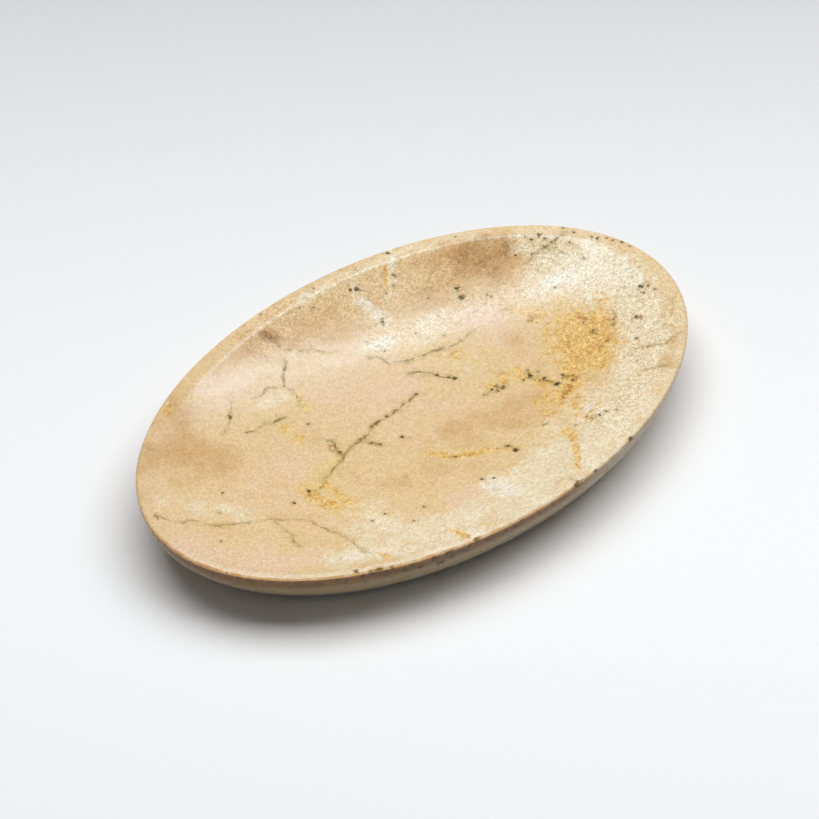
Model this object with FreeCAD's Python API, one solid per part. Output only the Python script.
"""Oval soap dish carved from one piece of stone, standing on four stick-on bumper pads.

The body is the lower half of an ellipsoid, ground flat underneath. A cap of a second
ellipsoid is hollowed out of its top and leaves a narrow land all round as the rim.
X runs along the length, Y across it and Z up. The origin is at the middle of the
surface that the dish stands on, which is the underside of the pads.
"""
import FreeCAD, Part
import math
import os

# Driving dimensions of the stone body, in millimetres.
DISH_LENGTH = 140.0  # over the rim, along X
DISH_WIDTH = 87.0  # over the rim, along Y
HOLLOW_DEPTH = 8.0  # from the rim's land down to the lowest point of the hollow
FLOOR_THICKNESS = 4.0  # stone left under the lowest point of the hollow
RIM_LAND = 4.1  # from the widest point of the outer wall in to the hollow
BOWL_CENTRE_RISE = 20.0  # how far above the land the hollow's ellipsoid has its centre
BASE_INSET = 8.5  # from an end of the rim in to the oval that is ground flat underneath
RIM_OUTER_ROUND = 0.8  # radius where the land turns into the outer wall
RIM_INNER_ROUND = 0.9  # radius where the land turns into the hollow
BASE_EDGE_ROUND = 1.2  # radius where the flat base turns into the outer wall

# Driving dimensions of a bumper pad, in millimetres and degrees.
PAD_DIAMETER = 8.0
PAD_THICKNESS = 1.5
PAD_EDGE_ROUND = 0.5  # radius round the pad's lower edge
PAD_INSET = 4.0  # from the base's outline in to the pad's edge
PAD_BEARING = 45.0  # where on its oval a pad sits, counted from the length

# Heights that follow from the driving dimensions.
BASE_Z = PAD_THICKNESS
FLOOR_Z = BASE_Z + FLOOR_THICKNESS
LAND_Z = FLOOR_Z + HOLLOW_DEPTH
WIDEST_Z = LAND_Z - RIM_OUTER_ROUND

# The oval of the base has the same proportions as the rim's.
BASE_LENGTH = DISH_LENGTH - 2 * BASE_INSET
BASE_SHARE = BASE_LENGTH / DISH_LENGTH
BASE_WIDTH = DISH_WIDTH * BASE_SHARE

SAME_HEIGHT = 1e-4  # an edge within this of a height lies at it


def ellipsoid(half_length, half_width, half_height, centre_z, pole):
    """A solid ellipsoid about the Z axis, with the poles of its surface along pole."""
    ball = Part.makeSphere(half_length, FreeCAD.Vector(0, 0, 0), pole)
    stretch = FreeCAD.Matrix()
    stretch.A22 = half_width / half_length
    stretch.A33 = half_height / half_length
    solid = ball.transformGeometry(stretch)
    solid.translate(FreeCAD.Vector(0, 0, centre_z))
    return solid


def edges_at(solid, height):
    """The edges of solid that lie flat at height."""
    flat = []
    for edge in solid.Edges:
        box = edge.BoundBox
        if max(abs(box.ZMin - height), abs(box.ZMax - height)) < SAME_HEIGHT:
            flat.append(edge)
    return flat


def outer_form():
    """The body before it is hollowed: an ellipsoid cut flat at the land and at the base."""
    # The ellipsoid is as deep as it must be to measure BASE_LENGTH at the height of the base.
    half_height = (WIDEST_Z - BASE_Z) / math.sqrt(1.0 - BASE_SHARE**2)
    up = FreeCAD.Vector(0, 0, 1)
    form = ellipsoid(DISH_LENGTH / 2, DISH_WIDTH / 2, half_height, WIDEST_Z, up)
    corner = FreeCAD.Vector(-DISH_LENGTH, -DISH_WIDTH, BASE_Z)
    slab = Part.makeBox(2 * DISH_LENGTH, 2 * DISH_WIDTH, LAND_Z - BASE_Z, corner)
    return form.common(slab)


def hollow_form():
    """The ellipsoid whose cap below the land is the hollow."""
    half_height = HOLLOW_DEPTH + BOWL_CENTRE_RISE
    # At the height of the land, the ellipsoid still has this share of its full length.
    share = math.sqrt(1.0 - (BOWL_CENTRE_RISE / half_height) ** 2)
    half_length = (DISH_LENGTH / 2 - RIM_LAND) / share
    half_width = (DISH_WIDTH / 2 - RIM_LAND) / share
    along = FreeCAD.Vector(1, 0, 0)
    return ellipsoid(half_length, half_width, half_height, LAND_Z + BOWL_CENTRE_RISE, along)


def make_dish_body():
    """The carved stone: the outer form less the hollow, with its three edges rounded."""
    body = outer_form().cut(hollow_form())
    middle_of_land = DISH_LENGTH - RIM_LAND
    rim = [e for e in edges_at(body, LAND_Z) if e.BoundBox.XLength > middle_of_land]
    body = body.makeFillet(RIM_OUTER_ROUND, rim)
    narrowest = min(e.BoundBox.XLength for e in edges_at(body, LAND_Z))
    lip = [e for e in edges_at(body, LAND_Z) if e.BoundBox.XLength == narrowest]
    body = body.makeFillet(RIM_INNER_ROUND, lip)
    body = body.makeFillet(BASE_EDGE_ROUND, edges_at(body, BASE_Z))
    return body.Solids[0]


def make_pad(centre_x, centre_y):
    """One bumper pad: a disc against the flat base, rounded round its lower edge."""
    foot = FreeCAD.Vector(centre_x, centre_y, 0)
    disc = Part.makeCylinder(PAD_DIAMETER / 2, PAD_THICKNESS, foot)
    return disc.makeFillet(PAD_EDGE_ROUND, edges_at(disc, 0.0)).Solids[0]


def pad_places():
    """Each pad's name and centre: four places on an oval that lies inside the base."""
    reach = PAD_INSET + PAD_DIAMETER / 2
    bearing = math.radians(PAD_BEARING)
    x = (BASE_LENGTH / 2 - reach) * math.cos(bearing)
    y = (BASE_WIDTH / 2 - reach) * math.sin(bearing)
    for end, pad_y in (("front", -y), ("rear", y)):
        for side, pad_x in (("left", -x), ("right", x)):
            yield f"bumper_pad_{end}_{side}", pad_x, pad_y


def main():
    os.makedirs("parts", exist_ok=True)
    pieces = {"dish_body": make_dish_body()}
    for name, x, y in pad_places():
        pieces[name] = make_pad(x, y)
    for name, shape in pieces.items():
        shape.exportStep(f"parts/{name}.step")
        box = shape.optimalBoundingBox()
        print(
            f"{name}: valid {shape.isValid()}, volume {shape.Volume / 1000:.3f} cm3,"
            f" X {box.XMin:.2f} to {box.XMax:.2f}, Y {box.YMin:.2f} to {box.YMax:.2f},"
            f" Z {box.ZMin:.2f} to {box.ZMax:.2f}"
        )


main()
